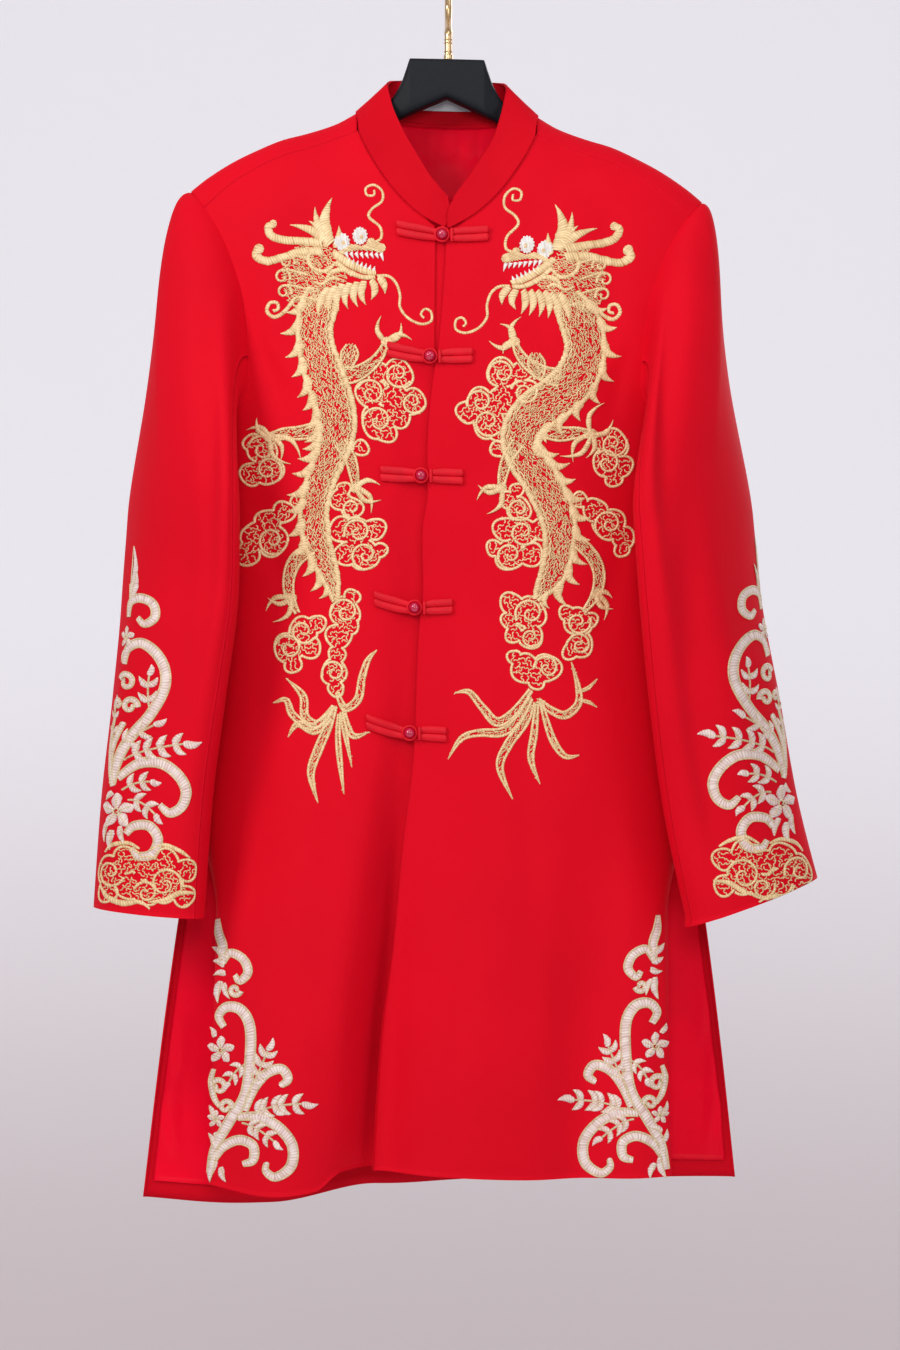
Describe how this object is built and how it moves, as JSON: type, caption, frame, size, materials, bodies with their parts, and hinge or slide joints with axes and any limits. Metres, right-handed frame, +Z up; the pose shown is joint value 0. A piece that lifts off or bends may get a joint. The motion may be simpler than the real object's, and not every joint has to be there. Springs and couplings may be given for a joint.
{
  "type": "tang suit jacket on a hanger",
  "caption": "Long mandarin-collar jacket with frog fastenings, side vents, embroidered fronts and lace trim, hanging on a contoured hanger.",
  "frame": {"origin": "where the inside of the hook rests on a rail", "axes": "+Z up, -Y towards someone facing the jacket's front, +X to that person's right, which is the wearer's left"},
  "size_m": [0.6638, 0.1752, 1.1436],
  "materials": {
    "shell": "matt crepe suiting",
    "frog": "satin cord with a pearl button",
    "lining": "satin",
    "lace": "satin-stitched lace",
    "label": "woven satin",
    "hanger": "matt charcoal",
    "hook": "polished"
  },
  "bodies": {
    "root": {"front_right": "shell", "front_left": "shell", "back": "shell", "placket": "shell", "lining_back": "lining", "collar": "shell", "label": "label", "sleeve_right_top": "shell", "sleeve_right_under": "shell", "sleeve_left_top": "shell", "sleeve_left_under": "shell", "frog_1_loop": "frog", "frog_1_knob": "frog", "frog_2_loop": "frog", "frog_2_knob": "frog", "frog_3_loop": "frog", "frog_3_knob": "frog", "frog_4_loop": "frog", "frog_4_knob": "frog", "frog_5_loop": "frog", "frog_5_knob": "frog", "lace_hem_right": "lace", "lace_hem_left": "lace", "lace_sleeve_right": "lace", "lace_sleeve_left": "lace", "hanger": "hanger", "hook": "hook"}
  },
  "joints": []
}
